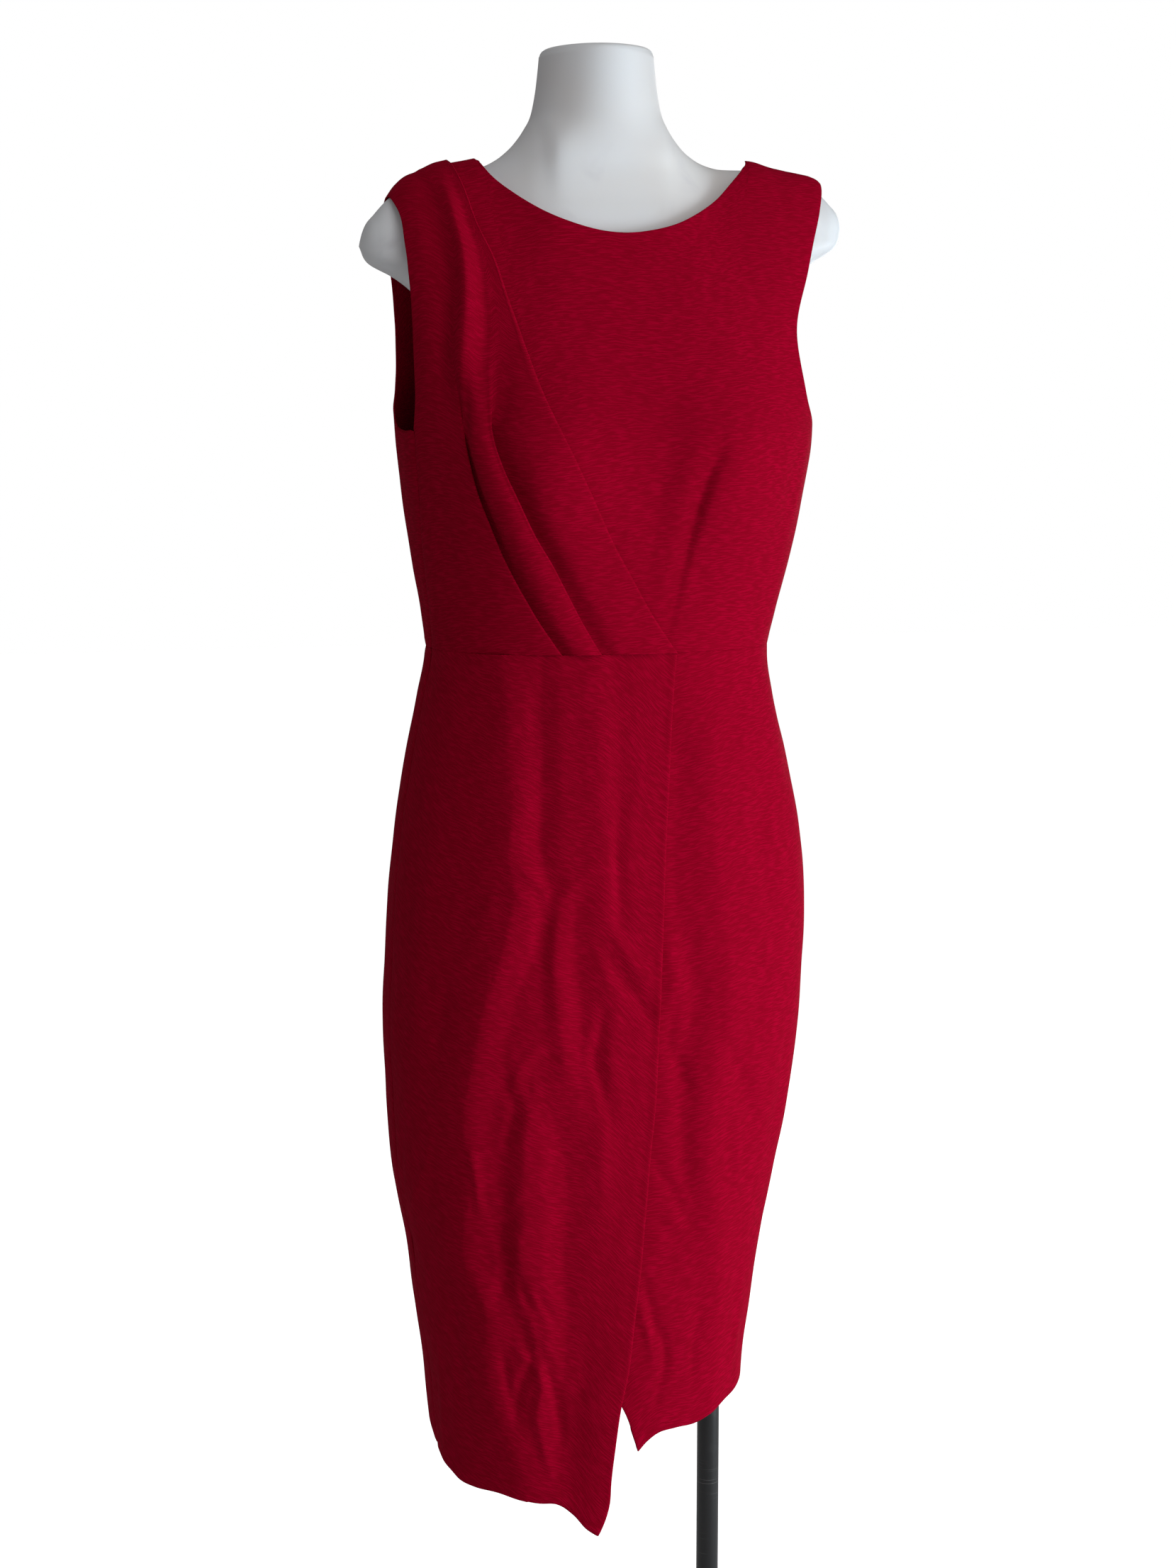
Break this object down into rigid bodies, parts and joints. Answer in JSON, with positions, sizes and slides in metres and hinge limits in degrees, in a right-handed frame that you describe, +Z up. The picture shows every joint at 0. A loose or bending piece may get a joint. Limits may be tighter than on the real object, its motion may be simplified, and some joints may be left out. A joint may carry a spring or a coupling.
{
  "type": "wrap-front sheath dress on a dress form",
  "caption": "Sleeveless fitted dress with a draped wrap front and an asymmetric hem, on a limbless torso form with a pole stand.",
  "frame": {"origin": "on the floor under the middle of the form's neck, on the underside of the round base", "axes": "+Z up along the pole, the dress's front towards -Y, +X to the right as seen from the front"},
  "size_m": [0.4847, 0.35, 1.542],
  "materials": {
    "crimson_crepe": "matt crepe with fine cross ripples",
    "form_white": "satin moulded shell",
    "pole_black": "satin black with light scuffs"
  },
  "bodies": {
    "root": {"bodice_front_under": "crimson_crepe", "bodice_front_drape": "crimson_crepe", "bodice_back": "crimson_crepe", "skirt_front_under": "crimson_crepe", "skirt_front_wrap": "crimson_crepe", "skirt_back": "crimson_crepe", "form_torso": "form_white", "socket": "pole_black", "pole": "pole_black", "hub": "pole_black", "base": "pole_black"}
  },
  "joints": []
}
